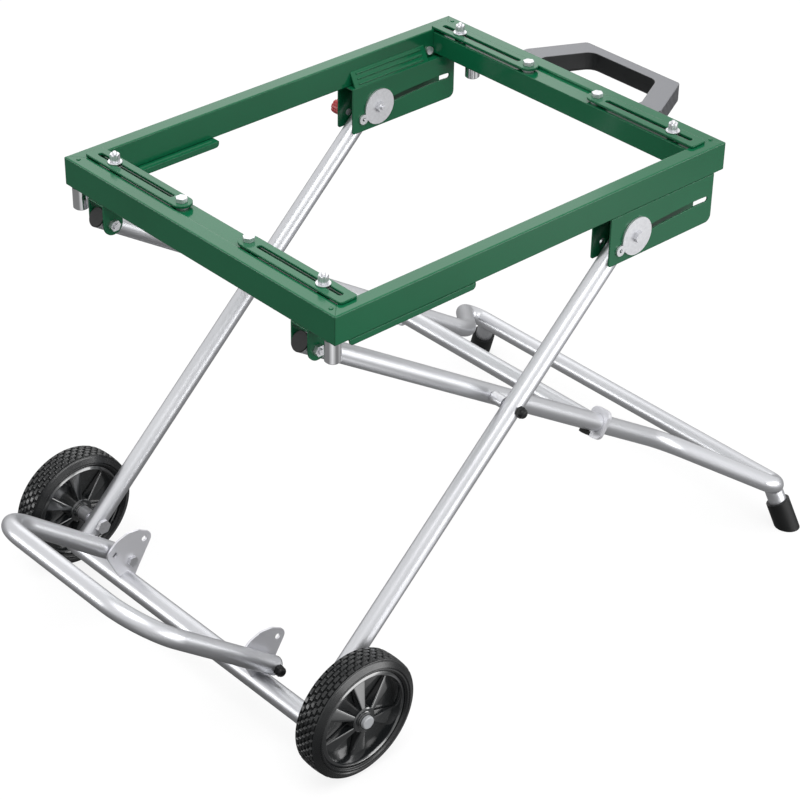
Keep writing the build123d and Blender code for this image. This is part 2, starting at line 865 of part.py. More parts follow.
def collar_screws():
    """A screw up through each upper tube just before the collar, with its nut below."""
    pieces = []
    for side in (-1, 1):
        along = bent_leg_place(side, 1) - bent_leg_place(side, 0)
        origin = bent_leg_place(side, seam_from_pivot - collar_screw_back)
        down = Vector(along.Z, 0, -along.X)
        with BuildPart() as nut:
            with BuildSketch(Plane(origin=origin + down * (tube / 2), x_dir=along, z_dir=down)):
                RegularPolygon(radius=hex_size / 2, side_count=6, major_radius=False)
            extrude(amount=hex_height)
        pieces.append(nut.part)
    return pieces


def foot_place(side, height):
    """A place on the foot's leaning centre line at this height."""
    return at(foot_x - foot_lean_x * height, side * (foot_y - foot_lean_y * height), height)


def foot_stubs():
    """The short tubes welded to the lower tube, which stand in the rubber feet."""
    pieces = []
    bar = tube_along(foot_bar_places, foot_bar_bends, bore=0)
    for side in (-1, 1):
        with BuildPart() as stub:
            add(rod(foot_place(side, foot_sole), foot_place(side, foot_stub_top), tube / 2))
            add(rod(foot_place(side, foot_sole), foot_place(side, corner_z - tube / 2), tube / 2 - tube_wall),
                mode=Mode.SUBTRACT)
            add(bar, mode=Mode.SUBTRACT)
        pieces.append(stub.part)
    return pieces


def rubber_foot(side):
    lean = hypot(1, foot_lean_x, foot_lean_y)
    top = foot_place(side, foot_cap_length / lean)
    with BuildPart() as foot:
        add(rod(foot_place(side, -foot_radius), top, foot_radius))
        add(rod(foot_place(side, foot_sole), foot_place(side, foot_cap_length), tube / 2 + thread_clearance),
            mode=Mode.SUBTRACT)
        split(bisect_by=Plane.XY, keep=Keep.TOP)
    return foot.part


# Straight pair of legs with the axle ends and the cross tube

def straight_leg_place(side, distance):
    """A place on the straight leg's centre line, this far from the slide pin towards the wheels."""
    rise = radians(straight_leg_rise)
    return at(slide_pin_x - distance * cos(rise), side * straight_leg_y, slide_pin_z - distance * sin(rise))


straight_leg_length = hypot(slide_pin_x - cross_x, slide_pin_z - cross_z)


def straight_leg(side):
    with BuildPart() as leg:
        add(tube_along(
            (straight_leg_place(side, -leg_overrun_straight), straight_leg_place(side, straight_leg_length)), None))
        with BuildSketch(side_plane(side * straight_leg_y)):
            with Locations((slide_pin_x, slide_pin_z)):
                Circle(slide_pin / 2 + thread_clearance)
            with Locations((scissor_x, scissor_z)):
                Circle(pin / 2 + thread_clearance)
            with Locations((axle_x, axle_z)):
                Circle(axle / 2 + thread_clearance)
        extrude(amount=tube, both=True, mode=Mode.SUBTRACT)
        add(rod(at(cross_x, side * straight_leg_y - tube, cross_z),
                at(cross_x, side * straight_leg_y + tube, cross_z), cross_tube / 2), mode=Mode.SUBTRACT)
    return leg.part


def leg_top_plugs():
    along = straight_leg_place(1, 1) - straight_leg_place(1, 0)
    return [end_plug(straight_leg_place(side, -leg_overrun_straight), along) for side in (-1, 1)]


def wheel_cross_tube():
    ends = (at(cross_x, -cross_tube_length / 2, cross_z), at(cross_x, cross_tube_length / 2, cross_z))
    return tube_along(ends, None, outer=cross_tube, bore=cross_tube - 2 * tube_wall)


def cross_tube_plugs():
    return [
        end_plug(at(cross_x, side * cross_tube_length / 2, cross_z), Vector(0, -side, 0), outer=cross_tube)
        for side in (-1, 1)
    ]


def ear(side):
    """The plate on the cross tube that holds the load bar's pivot and its two lock holes."""
    headings = [radians(180 - load_rise - share * load_turn) for share in ear_fan_shares]
    fan = [
        (load_pivot_x + load_lock_reach * cos(heading), load_pivot_z + load_lock_reach * sin(heading))
        for heading in headings
    ]
    feet = [(cross_x + offset, cross_z + cross_tube / 4) for offset in (-ear_foot_round, 3 * ear_foot_round)]
    with BuildPart() as plate:
        with BuildSketch(side_plane(side * ear_y)) as shape:
            with Locations(*fan):
                Circle(ear_round)
            with Locations(*feet):
                Circle(ear_foot_round)
            make_hull()
            with Locations((load_pivot_x, load_pivot_z)):
                Circle(pin / 2 + thread_clearance, mode=Mode.SUBTRACT)
            for turn in (0, load_turn):
                heading = radians(180 - load_rise - turn)
                with Locations((
                    load_pivot_x + load_lock_reach * cos(heading),
                    load_pivot_z + load_lock_reach * sin(heading),
                )):
                    Circle(ear_hole / 2, mode=Mode.SUBTRACT)
        extrude(amount=ear_thickness / 2, both=True)
        add(rod(at(cross_x, side * ear_y - tube, cross_z), at(cross_x, side * ear_y + tube, cross_z),
                cross_tube / 2), mode=Mode.SUBTRACT)
    return plate.part


def slide_pins():
    """The bolts through the tops of the straight legs, which run in the bracket slots."""
    pieces = []
    for side in (-1, 1):
        outer_seat = half_width + joint_gap + disc_thickness
        inner_seat = channel_inner_y - joint_gap - disc_thickness
        pieces += cross_bolt(slide_pin_x, slide_pin_z, side * outer_seat, side * inner_seat, shank=slide_pin)
    return pieces


def slide_discs():
    """The large washers each side of the bracket; all but the one behind the latch knob carry a pierced lug."""
    pieces = []
    outer_seat = half_width + joint_gap
    for side in (-1, 1):
        for seat in (outer_seat, channel_inner_y - joint_gap - disc_thickness):
            with BuildPart() as disc:
                with BuildSketch(side_plane(side * seat)):
                    with Locations((slide_pin_x, slide_pin_z)):
                        Circle(disc_radius)
                    if side < 0 or seat < outer_seat:
                        with Locations((knob_x, knob_z)):
                            Circle(disc_lug_radius)
                            Circle(disc_lug_hole / 2, mode=Mode.SUBTRACT)
                    with Locations((slide_pin_x, slide_pin_z)):
                        Circle(slide_pin / 2 + thread_clearance, mode=Mode.SUBTRACT)
                extrude(amount=-side * disc_thickness)
            pieces.append(disc.part)
    return pieces


scissor_head_y = bent_leg_y - tube / 2 - joint_gap
scissor_nut_y = straight_leg_y + tube / 2


def scissor_bolts():
    pieces = []
    for side in (-1, 1):
        pieces.append(cross_bolt(scissor_x, scissor_z, side * scissor_head_y, side * scissor_nut_y)[0])
    return pieces


def scissor_spacers():
    return [
        cross_ring(scissor_x, scissor_z, side * (bent_leg_y + tube / 2 + joint_gap),
                   side * (straight_leg_y - tube / 2), pin, pin / 2 + thread_clearance)
        for side in (-1, 1)
    ]


def scissor_cap_nuts():
    return [cap_nut(scissor_x, scissor_z, side * scissor_nut_y, side) for side in (-1, 1)]


# Wheels

def axle_bolts():
    """The stub axles: a bolt out through each leg and its wheel."""
    pieces = []
    for side in (-1, 1):
        seat = straight_leg_y - tube / 2
        end = wheel_inner_y + wheel_width + joint_gap
        with BuildPart() as bolt:
            with BuildSketch(side_plane(side * seat)):
                with Locations((axle_x, axle_z)):
                    RegularPolygon(radius=axle_spacer_radius, side_count=6, major_radius=False)
            extrude(amount=side * hex_height)
            with BuildSketch(side_plane(side * seat)):
                with Locations((axle_x, axle_z)):
                    Circle(axle / 2)
            extrude(amount=-side * (end - seat))
        pieces.append(bolt.part)
    return pieces


def axle_spacers():
    return [
        cross_ring(axle_x, axle_z, side * (straight_leg_y + tube / 2), side * (wheel_inner_y - joint_gap),
                   axle_spacer_radius, axle / 2 + thread_clearance)
        for side in (-1, 1)
    ]


def axle_caps():
    pieces = []
    for side in (-1, 1):
        with BuildPart() as cap:
            with BuildSketch(side_plane(side * (wheel_inner_y + wheel_width + joint_gap))):
                with Locations((axle_x, axle_z)):
                    Circle(axle_cap_radius)
            extrude(amount=-side * axle_cap_height)
            fillet(cap.faces().sort_by(Axis.Y)[-1 if side > 0 else 0].edges(), radius=axle_cap_height / 3)
        pieces.append(cap.part)
    return pieces


wheel_middle_y = wheel_inner_y + wheel_width / 2


def wheel_face(side, offset):
    """The plane of a wheel this far out from its middle, centred on the axle."""
    return Plane(origin=at(axle_x, side * (wheel_middle_y + offset), axle_z), x_dir=(1, 0, 0), z_dir=(0, -1, 0))


def turned(side, rings):
    """Rings about the axle, each an inner and outer radius with its first and last offset."""
    section = Plane(origin=at(axle_x, side * wheel_middle_y, axle_z), x_dir=(0, 1, 0), z_dir=(1, 0, 0))
    with BuildPart() as body:
        with BuildSketch(section):
            for inner, outer, first, last in rings:
                with Locations((side * (first + last) / 2, (inner + outer) / 2)):
                    Rectangle(abs(last - first), outer - inner)
        revolve(axis=Axis(at(axle_x, 0, axle_z), (0, 1, 0)))
    return body.part


def tyre(side):
    section = Plane(origin=at(axle_x, side * wheel_middle_y, axle_z), x_dir=(0, 1, 0), z_dir=(1, 0, 0))
    with BuildPart() as body:
        with BuildSketch(section) as profile:
            with Locations((0, (tyre_inner_radius + wheel_radius) / 2)):
                Rectangle(wheel_width, wheel_radius - tyre_inner_radius)
            fillet(profile.vertices().group_by(Axis.Y)[-1], radius=tyre_shoulder)
        revolve(axis=Axis(at(axle_x, 0, axle_z), (0, 1, 0)))
    return body.part


def rim(side):
    half = wheel_width / 2
    spoke_length = rim_radius - rim_thickness - hub_radius + rim_thickness / 2
    with BuildPart() as body:
        add(turned(side, [
            (rim_radius - rim_thickness, rim_radius, -half + rim_inset, half - rim_inset),
            (axle / 2 + axle_clearance, hub_radius, -half, half),
            (hub_radius - rim_thickness, rim_radius, -web_thickness / 2, web_thickness / 2),
        ]))
        with BuildSketch(wheel_face(side, half - spoke_inset)):
            with PolarLocations(hub_radius - rim_thickness / 2, spoke_count, start_angle=90):
                Polygon(
                    (0, -spoke_root / 2), (spoke_length, -spoke_tip / 2),
                    (spoke_length, spoke_tip / 2), (0, spoke_root / 2),
                    align=None,
                )
        extrude(amount=side * 2 * (half - spoke_inset))
    return body.part


# Load bar

load_heading = Vector(-cos(radians(load_rise)), 0, sin(radians(load_rise)))


def load_place(side, distance):
    """A place on the load bar's arm, this far out from its pivot."""
    return at(load_pivot_x, side * load_arm_y, load_pivot_z) + load_heading * distance


def load_bar():
    places = (
        load_place(-1, -load_back), load_place(-1, load_reach),
        load_place(1, load_reach), load_place(1, -load_back),
    )
    lock = load_heading * load_lock_reach
    with BuildPart() as bar:
        add(tube_along(places, [load_corner_radius, load_corner_radius]))
        with BuildSketch(side_plane(0)):
            with Locations((load_pivot_x, load_pivot_z)):
                Circle(pin / 2 + pin_clearance)
        extrude(amount=load_arm_y + tube, both=True, mode=Mode.SUBTRACT)
        with BuildSketch(side_plane(0)):
            with Locations((load_pivot_x + lock.X, load_pivot_z + lock.Z)):
                Circle(button / 2 + pin_clearance)
        extrude(amount=load_arm_y, both=True, mode=Mode.SUBTRACT)
    return bar.part


def load_bar_plugs():
    """Plugs in the two ends of the load bar, bored for the bolts on which it turns."""
    pieces = []
    for side in (-1, 1):
        with BuildPart() as plug:
            add(end_plug(load_place(side, -load_back), load_heading))
            with BuildSketch(side_plane(side * load_arm_y)):
                with Locations((load_pivot_x, load_pivot_z)):
                    Circle(pin / 2 + pin_clearance)
            extrude(amount=tube, both=True, mode=Mode.SUBTRACT)
        pieces.append(plug.part)
    return pieces


def load_pivot_bolts():
    pieces = []
    for side in (-1, 1):
        head = ear_y - ear_thickness / 2
        nut = load_arm_y + tube / 2 + joint_gap
        pieces.append(cross_bolt(load_pivot_x, load_pivot_z, side * head, side * nut)[0])
    return pieces


def load_cap_nuts():
    seat = load_arm_y + tube / 2 + joint_gap
    return [cap_nut(load_pivot_x, load_pivot_z, side * seat, side) for side in (-1, 1)]


def lock_button(side):
    """The snap button in the load bar's arm, which shows through the ear's lock hole."""
    lock = load_heading * load_lock_reach
    start = ear_y + ear_thickness / 2 + joint_gap
    with BuildPart() as dome:
        with BuildSketch(side_plane(side * start)):
            with Locations((load_pivot_x + lock.X, load_pivot_z + lock.Z)):
                Circle(button / 2)
        extrude(amount=-side * button_length)
        fillet(dome.faces().sort_by(Axis.Y)[0 if side > 0 else -1].edges(), radius=button / 4)
    return dome.part


# Latch knob on the far slot bracket

def knob_bush():
    start = half_width - sheet
    return cross_ring(knob_x, knob_z, start, half_width + knob_bush_length,
                      knob_bush_radius - thread_clearance, knob_stem / 2 + pin_clearance)


def latch_knob():
    start = half_width + knob_bush_length + joint_gap
    face = Plane(origin=at(knob_x, start, knob_z), x_dir=(1, 0, 0), z_dir=(0, 1, 0))
    with BuildPart() as grip:
        with BuildSketch(face):
            Circle(knob_radius)
            with PolarLocations(knob_radius + knob_flute_radius / 2, knob_flutes):
                Circle(knob_flute_radius, mode=Mode.SUBTRACT)
            Circle(knob_stem / 2 + thread_clearance, mode=Mode.SUBTRACT)
        extrude(amount=knob_length)
    return grip.part


def latch_stem():
    return rod(at(knob_x, half_width - sheet, knob_z),
               at(knob_x, half_width + knob_bush_length + knob_length, knob_z), knob_stem / 2)


side_names = {-1: "near", 1: "far"}
end_names = {-1: "wheel_end", 1: "handle_end"}

for side, side_name in side_names.items():
    hand_over(f"long_rail_{side_name}", long_rail(side))
    hand_over(f"slot_bracket_{side_name}", slot_bracket(side))
    hand_over(f"bent_leg_{side_name}", bent_leg_tube(side))
    hand_over(f"straight_leg_{side_name}", straight_leg(side))
    hand_over(f"load_bar_ear_{side_name}", ear(side))
    hand_over(f"tyre_{side_name}", tyre(side))
    hand_over(f"rim_{side_name}", rim(side))
    hand_over(f"lock_button_{side_name}", lock_button(side))
    for end, end_name in end_names.items():
        hand_over(f"saw_arm_{end_name}_{side_name}", saw_arm(end, side))
        hand_over(f"saw_bolt_{end_name}_{side_name}", *saw_bolt_set(end, side))

for end, end_name in end_names.items():
    hand_over(f"short_rail_{end_name}", short_rail(end))
    hand_over(f"ledge_{end_name}", ledge(end))

hand_over("frame_rivets", rivets())
hand_over("leg_channels", *[wheel_end_channel(side) for side in side_names])
hand_over("pivot_brackets", *[pivot_bracket(side) for side in side_names])
hand_over("collar_plates", *[collar_plate(side) for side in side_names])
hand_over("rubber_feet", *[rubber_foot(side) for side in side_names])
hand_over("bracket_screws", bracket_screws())
hand_over("bent_pivot_bolts", *bent_pivot_bolts())
hand_over("leg_stops", leg_stops())
hand_over("carry_handle", carry_handle())
hand_over("handle_screws", handle_screws())
hand_over("arm_pivot_bolts", *arm_pivot_bolts())
hand_over("bent_leg_plugs", *bent_leg_plugs())
hand_over("foot_bar", foot_bar())
hand_over("foot_cross_tube", foot_cross_tube())
hand_over("collar_screws", *collar_screws())
hand_over("foot_stubs", *foot_stubs())
hand_over("wheel_cross_tube", wheel_cross_tube())
hand_over("straight_leg_plugs", *leg_top_plugs(), *cross_tube_plugs())
hand_over("slide_pins", *slide_pins())
hand_over("slide_discs", *slide_discs())
hand_over("scissor_bolts", *scissor_bolts())
hand_over("leg_spacers", *scissor_spacers(), *axle_spacers())
hand_over("cap_nuts", *scissor_cap_nuts(), *load_cap_nuts())
hand_over("axle_bolts", *axle_bolts())
hand_over("axle_caps", *axle_caps())
hand_over("load_bar", load_bar())
hand_over("load_bar_plugs", *load_bar_plugs())
hand_over("load_pivot_bolts", *load_pivot_bolts())
hand_over("knob_bush", knob_bush())
hand_over("latch_knob", latch_knob())
hand_over("latch_stem", latch_stem())
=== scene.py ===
"""Dresses the folding saw stand: enamel, lacquered tube, plated bolts, moulded wheels and the studio round it."""

import json
import math

import bmesh
import bpy
import numpy as np
from mathutils import Matrix, Vector


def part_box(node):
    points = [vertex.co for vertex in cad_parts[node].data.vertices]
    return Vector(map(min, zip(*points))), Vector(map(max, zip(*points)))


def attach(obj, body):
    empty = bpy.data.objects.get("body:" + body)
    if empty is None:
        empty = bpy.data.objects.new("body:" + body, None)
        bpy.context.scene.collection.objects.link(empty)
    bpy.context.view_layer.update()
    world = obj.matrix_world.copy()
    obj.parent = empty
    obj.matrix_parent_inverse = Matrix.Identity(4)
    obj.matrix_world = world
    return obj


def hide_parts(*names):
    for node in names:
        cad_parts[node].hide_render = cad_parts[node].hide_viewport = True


bl_info = {
    "name": "Folding Saw Stand",
    "version": (1, 0, 0),
    "blender": (4, 5, 0),
    "location": "View3D > Sidebar > Saw Stand",
    "description": "Finishes and moulded details of a folding stand for a bench saw",
    "category": "Add Mesh",
}

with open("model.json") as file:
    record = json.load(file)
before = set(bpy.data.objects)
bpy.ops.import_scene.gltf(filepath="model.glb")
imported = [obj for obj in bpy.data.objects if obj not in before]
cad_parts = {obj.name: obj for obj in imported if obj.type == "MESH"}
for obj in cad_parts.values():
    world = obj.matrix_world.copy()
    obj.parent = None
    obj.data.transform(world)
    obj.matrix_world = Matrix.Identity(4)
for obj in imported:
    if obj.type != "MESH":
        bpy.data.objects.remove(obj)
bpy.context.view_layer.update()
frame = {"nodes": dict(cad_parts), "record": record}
MM = 0.001
SIDES = {"near": -1, "far": 1}
ENDS = ("wheel_end", "handle_end")

# the tread: its half width and groove depth in mm, its rows, and the mesh's steps along each block
SHOULDER = 15
GROOVE_DEPTH = 2.6
TREAD_ROWS = 5
STEPS_PER_BLOCK = 10

# the colour sockets of a Mix node: two tones in, one out
TONE_A, TONE_B, TONE_OUT = 6, 7, 2
# the span that nearly all values of a noise texture lie in
NOISE_LOW, NOISE_HIGH = 0.3, 0.7
# samples of a Bevel node, enough for a smooth highlight on an edge
EDGE_SAMPLES = 6

# each lamp: name, place and size in metres, power in watts
LAMPS = (
    ("key_softbox", (-0.6, -0.8, 3.2), (2.4, 2.4), 64),
    ("side_softbox", (-2.6, 2.1, 0.65), (1.0, 1.0), 16),
    ("edge_softbox", (1.41, -2.76, 0.5), (3.4, 0.9), 48),
    ("back_softbox", (1.6, 2.4, 2.0), (2.0, 2.0), 13),
)
# half the floor's side in metres, and the share of it that glows for the camera, gloss and glass
FLOOR_REACH = 30.0
GLOW_SHARE = 0.84
# how brightly gloss and glass see the floor, and the round pools of painted light on it, seen only in reflections,
# the last a painted shadow with a negative level: x, y and radius in metres, added level
FLOOR_LEVEL = 0.24
POOLS = (
    (0.9, -1.05, 0.75, 0.85),
    (-0.95, -0.9, 0.75, 0.9),
    (0.8, -3.2, 2.2, 4.5),
    (-0.1, -0.66, 0.3, 3.5),
    (-0.45, 0.0, 0.6, -0.2),
)


# Colour and shader helpers

def linear(hex_colour):
    """The linear RGBA of an sRGB hex colour: each channel through the sRGB curve."""
    srgb = np.array([int(hex_colour[i:i + 2], 16) for i in (1, 3, 5)]) / 255
    light = np.where(srgb <= 0.04045, srgb / 12.92, ((srgb + 0.055) / 1.055) ** 2.4)
    return (*light.tolist(), 1.0)


def add_node(tree, kind, inputs=None, **settings):
    """Adds a node, sets its properties, and links or sets each named input."""
    made = tree.nodes.new(kind)
    for key, value in settings.items():
        setattr(made, key, value)
    for key, value in (inputs or {}).items():
        if isinstance(value, bpy.types.NodeSocket):
            tree.links.new(value, made.inputs[key])
        else:
            made.inputs[key].default_value = value
    return made


def new_material(name):
    """A material and its node tree, emptied."""
    material = bpy.data.materials.new(name)
    material.use_nodes = True
    tree = material.node_tree
    tree.nodes.clear()
    return material, tree


def background_rays(tree):
    """Two sockets that are 1 or 0: the camera's rays, and those that see the background, gloss and glass included."""
    path = add_node(tree, "ShaderNodeLightPath").outputs
    camera = path["Is Camera Ray"]
    beyond = add_node(tree, "ShaderNodeMath", {
        0: path["Is Glossy Ray"], 1: path["Is Transmission Ray"]}, operation="MAXIMUM").outputs[0]
    return camera, add_node(tree, "ShaderNodeMath", {0: camera, 1: beyond}, operation="MAXIMUM").outputs[0]


def per_metre(size_mm):
    """The texture scale at which one feature is this many millimetres wide."""
    return 1 / (size_mm * MM)


def surface_finish(name, low, high, patch_mm, rough, grain_mm, grain_depth_mm, metallic=0.0, coat=0.0, coat_ior=1.5,
                   gloss=0.5, edge_mm=0.0):
    """A finish whose colour wanders between two tones over patch_mm, with a fine grain of its own size and depth.

    rough is the span of roughness, coat the share of a clear coat and coat_ior its refractive index, gloss the
    strength of the plain mirror light, and edge_mm the radius to which edges look rounded.
    """
    material, tree = new_material(name)
    place = add_node(tree, "ShaderNodeTexCoord").outputs["Object"]
    patches = add_node(tree, "ShaderNodeTexNoise", {
        "Vector": place, "Scale": per_metre(patch_mm), "Detail": 4.0, "Roughness": 0.55}).outputs["Fac"]
    tone = add_node(tree, "ShaderNodeMix", {
        0: patches, TONE_A: linear(low), TONE_B: linear(high)}, data_type="RGBA").outputs[TONE_OUT]
    grain = add_node(tree, "ShaderNodeTexNoise", {
        "Vector": place, "Scale": per_metre(grain_mm), "Detail": 3.0, "Roughness": 0.6}).outputs["Fac"]
    roughness = add_node(tree, "ShaderNodeMapRange", {
        "Value": grain, "From Min": NOISE_LOW, "From Max": NOISE_HIGH, "To Min": rough[0],
        "To Max": rough[1]}).outputs["Result"]
    relief = {"Height": grain, "Strength": 0.6, "Distance": grain_depth_mm * MM}
    if edge_mm:
        relief["Normal"] = add_node(
            tree, "ShaderNodeBevel", {"Radius": edge_mm * MM}, samples=EDGE_SAMPLES).outputs["Normal"]
    bump = add_node(tree, "ShaderNodeBump", relief).outputs["Normal"]
    shader = add_node(tree, "ShaderNodeBsdfPrincipled", {
        "Base Color": tone, "Metallic": metallic, "Roughness": roughness, "Normal": bump,
        "Coat Weight": coat, "Coat IOR": coat_ior, "Coat Roughness": 0.12, "Specular IOR Level": gloss})
    add_node(tree, "ShaderNodeOutputMaterial", {"Surface": shader.outputs["BSDF"]})
    return material


def nylon_with_painted_light(name, painted_light_tone, nylon_tone, rib_mm=6):
    """Black nylon, with a painted highlight in a pale tone on the faces that point up and on the grip ribs, which are
    rib_mm apart on the outer ends.
    """
    material, tree = new_material(name)
    coordinates = add_node(tree, "ShaderNodeTexCoord")
    place = coordinates.outputs["Object"]
    facing = add_node(tree, "ShaderNodeSeparateXYZ", {0: coordinates.outputs["Normal"]})
    # painted top light: faces whose normals point up take the pale tone, lighter because light falls from above
    painted_top_light = add_node(tree, "ShaderNodeMapRange", {
        "Value": facing.outputs["Z"], "From Min": 0.35, "From Max": 0.6}).outputs["Result"]
    # a face is an outer one where its normal leans to the side of the handle that it is on
    across = add_node(tree, "ShaderNodeSeparateXYZ", {0: place}).outputs["Y"]
    leaning = add_node(tree, "ShaderNodeMath", {0: facing.outputs["Y"], 1: across}, operation="MULTIPLY").outputs[0]
    outer = add_node(tree, "ShaderNodeMapRange", {
        "Value": leaning, "From Min": 0.05, "From Max": 0.06}).outputs["Result"]
    # a band texture of scale 1 repeats every pi / 10 metres
    bands = add_node(tree, "ShaderNodeTexWave", {
        "Vector": place, "Scale": math.pi / 10 / (rib_mm * MM), "Detail": 0.0}, bands_direction="X").outputs["Fac"]
    ribs = add_node(tree, "ShaderNodeMath", {0: bands, 1: outer}, operation="MULTIPLY").outputs[0]
    # the ribs on the outer ends take a painted highlight, 0.7 of the pale tone
    pale = add_node(tree, "ShaderNodeMath", {0: ribs, 1: 0.7}, operation="MULTIPLY").outputs[0]
    share = add_node(tree, "ShaderNodeMath", {0: painted_top_light, 1: pale}, operation="MAXIMUM").outputs[0]
    tone = add_node(tree, "ShaderNodeMix", {
        0: share, TONE_A: linear(nylon_tone), TONE_B: linear(painted_light_tone)}, data_type="RGBA").outputs[TONE_OUT]
    grain = add_node(tree, "ShaderNodeTexNoise", {
        "Vector": place, "Scale": per_metre(0.7), "Detail": 3.0, "Roughness": 0.6}).outputs["Fac"]
    rounded = add_node(tree, "ShaderNodeBevel", {"Radius": 2.5 * MM}, samples=EDGE_SAMPLES).outputs["Normal"]
    ribbed = add_node(tree, "ShaderNodeBump", {
        "Height": ribs, "Strength": 0.8, "Distance": 0.8 * MM, "Normal": rounded}).outputs["Normal"]
    normal = add_node(tree, "ShaderNodeBump", {
        "Height": grain, "Strength": 0.6, "Distance": 0.05 * MM, "Normal": ribbed}).outputs["Normal"]
    shader = add_node(tree, "ShaderNodeBsdfPrincipled", {"Base Color": tone, "Roughness": 0.42, "Normal": normal})
    add_node(tree, "ShaderNodeOutputMaterial", {"Surface": shader.outputs["BSDF"]})
    return material


def make_finishes(look):
    """Every finish of the stand, by its plain name."""
    return {
        # stoved gloss enamel on box-section steel: even colour, faint orange peel about 2 mm across
        "stoved_enamel": surface_finish(
            "stoved_enamel", look.enamel_low, look.enamel_high, 160, rough=(0.12, 0.17), gloss=0.36,
            grain_mm=2.2, grain_depth_mm=0.003, edge_mm=1.6),
        # aluminium-pigment lacquer on round tube: silver grey with a soft metallic roll
        "silver_lacquer": surface_finish(
            "silver_lacquer", look.tube_low, look.tube_high, 90, rough=(0.34, 0.4), metallic=0.85, coat=0.1,
            grain_mm=0.8, grain_depth_mm=0.004),
        # bright zinc plating on bolts and washers: fine cloudy sparkle
        "zinc_plate": surface_finish(
            "zinc_plate", "#c4c5c9", "#e6e6e9", 3.5, rough=(0.3, 0.42), metallic=0.85, grain_mm=0.5,
            grain_depth_mm=0.006),
        # polished chrome on the round leg stops: sharp, bright reflections
        "chrome_plate": surface_finish(
            "chrome_plate", "#cfd0d3", "#e6e6e8", 30, rough=(0.04, 0.09), metallic=1.0, grain_mm=4,
            grain_depth_mm=0.004),
        # dull zinc-grey paint on pressed plates: satin, slightly cool grey
        "grey_paint": surface_finish(
            "grey_paint", "#d4d4d9", "#dddde1", 40, rough=(0.36, 0.44), metallic=0.5, grain_mm=1.2,
            grain_depth_mm=0.01),
        # moulded black polyethylene plugs and caps: low sheen
        "black_plastic": surface_finish(
            "black_plastic", "#0b0c0c", "#121314", 12, rough=(0.34, 0.44), gloss=0.25, grain_mm=0.7,
            grain_depth_mm=0.008),
        # glass-filled nylon of the handle, near black: dull, spark-eroded texture, with a painted grey highlight on
        # the faces that point up and on the ribs
        "handle_nylon_painted_light": nylon_with_painted_light("handle_nylon_painted_light", "#75767a", "#101113"),
        # moulded carbon-black rubber of the feet: matt, with a fine tooth
        "foot_rubber": surface_finish(
            "foot_rubber", "#08090a", "#101111", 18, rough=(0.42, 0.55), gloss=0.3, grain_mm=1.0,
            grain_depth_mm=0.02),
        # moulded tyre rubber: a low gloss with a grey bloom in patches
        "tyre_rubber": surface_finish(
            "tyre_rubber", "#0c0d0e", "#1a1c1d", 22, rough=(0.2, 0.3), grain_mm=1.1, grain_depth_mm=0.03),
        # the tyre's smooth sidewall, the same rubber wiped to a gloss: a clear highlight round the shoulder
        "sidewall_rubber": surface_finish(
            "sidewall_rubber", "#0c0d0e", "#1a1c1d", 22, rough=(0.2, 0.3), coat=0.9, coat_ior=1.8,
            grain_mm=1.1, grain_depth_mm=0.01),
        # moulded black polypropylene of the wheel: glossy, with bright edges on flange and spokes
        "rim_polypropylene": surface_finish(
            "rim_polypropylene", "#141617", "#1f2224", 30, rough=(0.16, 0.24), coat=0.9, coat_ior=1.8,
            grain_mm=1.4, grain_depth_mm=0.01),
        # the web behind the spokes, the same plastic left rough from the mould, in a darker tone that is painted
        # shade in the recess between the spokes: deep, dull black
        "web_polypropylene_painted_shade": surface_finish(
            "web_polypropylene_painted_shade", "#040404", "#080909", 20, rough=(0.5, 0.6), gloss=0.15, grain_mm=1.4,
            grain_depth_mm=0.03),
        # moulded polythene of the push-on hub cap: pale grey, waxy
        "cap_polythene": surface_finish(
            "cap_polythene", "#a3a5a8", "#b4b6b9", 8, rough=(0.32, 0.42), grain_mm=0.9, grain_depth_mm=0.01),
        # moulded ABS of the latch knob: clear red with a soft shine
        "red_abs": surface_finish(
            "red_abs", "#a11218", "#c01c22", 9, rough=(0.22, 0.32), coat=0.2, grain_mm=0.9, grain_depth_mm=0.01),
    }


FINISH_OF_SLOT = {
    "green_paint": "stoved_enamel", "tube": "silver_lacquer", "zinc": "zinc_plate", "grey_paint": "grey_paint",
    "black_plastic": "black_plastic", "handle_plastic": "handle_nylon_painted_light", "rubber": "foot_rubber",
    "tyre": "tyre_rubber", "rim_plastic": "rim_polypropylene", "cap_plastic": "cap_polythene",
    "red_plastic": "red_abs",
}
finishes = {}


def dress(thing, *names):
    """Gives an object these finishes, one material slot each."""
    thing.data.materials.clear()
    for name in names:
        thing.data.materials.append(finishes[name])


# Surface helpers: every shape is a grid of points worked out from two parameters

def sheet_faces(rows, columns, wrap_rows=True, wrap_columns=True):
    """The quads of a grid of rows by columns, joined to itself where it wraps."""
    row = np.arange(rows if wrap_rows else rows - 1)[:, None]
    column = np.arange(columns if wrap_columns else columns - 1)[None, :]
    next_row, next_column = (row + 1) % rows, (column + 1) % columns
    corners = [row * columns + column, next_row * columns + column,
               next_row * columns + next_column, row * columns + next_column]
    return np.stack([np.broadcast_to(c, (row.size, column.size)).ravel() for c in corners], axis=1)


def outward(points, faces):
    """Turns the faces round if the shell's signed volume says that they point inwards."""
    a, b, c, d = (points[faces[:, i]] for i in range(4))
    volume = (a * np.cross(b, c)).sum() + (a * np.cross(c, d)).sum()
    return faces if volume > 0 else faces[:, ::-1]


